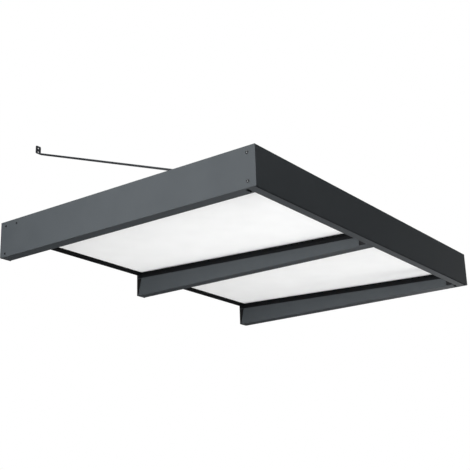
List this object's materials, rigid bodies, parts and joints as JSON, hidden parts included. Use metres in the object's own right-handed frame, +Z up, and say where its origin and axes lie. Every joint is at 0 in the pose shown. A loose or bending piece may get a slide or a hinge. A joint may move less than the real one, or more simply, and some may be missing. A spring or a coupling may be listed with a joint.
{
  "type": "door canopy",
  "caption": "Flat box-framed door canopy: hollow side beams and middle rib, gutter front profile, two sloping opal panes, flat tie bars up to the wall.",
  "frame": {"origin": "on the wall plane, at the middle of the canopy's width and of the frame's height", "axes": "+X along the wall, to the right for someone who faces the wall; +Y into the wall, so the canopy reaches towards -Y; +Z up"},
  "size_m": [1.5082, 1.104, 0.481],
  "materials": {
    "frame": "satin",
    "black_metal": "satin",
    "rubber": "matte",
    "opal_acrylic": "gloss",
    "zinc_steel": "satin",
    "nylon": "matte"
  },
  "bodies": {
    "root": {"clamp_angle_left_inner": "frame", "clamp_angle_left_outer": "frame", "clamp_angle_right_inner": "frame", "clamp_angle_right_outer": "frame", "clamp_seal_left_inner": "rubber", "clamp_seal_left_outer": "rubber", "clamp_seal_right_inner": "rubber", "clamp_seal_right_outer": "rubber", "front_gutter_profile": "frame", "front_seat_left": "rubber", "front_seat_right": "rubber", "left_bracket_screw_high": "black_metal", "left_bracket_screw_low": "black_metal", "left_bracket_screw_reach": "black_metal", "left_corner_screw_high": "frame", "left_corner_screw_low": "frame", "left_front_connector": "nylon", "left_side_beam": "frame", "left_side_plate": "frame", "left_tie_bar": "frame", "left_tie_bolt": "zinc_steel", "left_tie_nut": "zinc_steel", "left_wall_boot": "rubber", "left_wall_bracket": "zinc_steel", "middle_front_connector": "nylon", "middle_rib": "frame", "middle_wall_boot": "rubber", "middle_wall_bracket": "zinc_steel", "pane_left": "opal_acrylic", "pane_right": "opal_acrylic", "pane_seat_left_inner": "rubber", "pane_seat_left_outer": "rubber", "pane_seat_right_inner": "rubber", "pane_seat_right_outer": "rubber", "right_bracket_screw_high": "black_metal", "right_bracket_screw_low": "black_metal", "right_bracket_screw_reach": "black_metal", "right_corner_screw_high": "frame", "right_corner_screw_low": "frame", "right_front_connector": "nylon", "right_side_beam": "frame", "right_side_plate": "frame", "right_tie_bar": "frame", "right_tie_bolt": "zinc_steel", "right_tie_nut": "zinc_steel", "right_wall_boot": "rubber", "right_wall_bracket": "zinc_steel", "support_rail_left_inner": "black_metal", "support_rail_left_outer": "black_metal", "support_rail_right_inner": "black_metal", "support_rail_right_outer": "black_metal", "wall_rail_left": "black_metal", "wall_rail_right": "black_metal", "wall_seal_left": "rubber", "wall_seal_right": "rubber", "wall_seat_left": "rubber", "wall_seat_right": "rubber", "wall_strip_left": "rubber", "wall_strip_right": "rubber"}
  },
  "joints": []
}
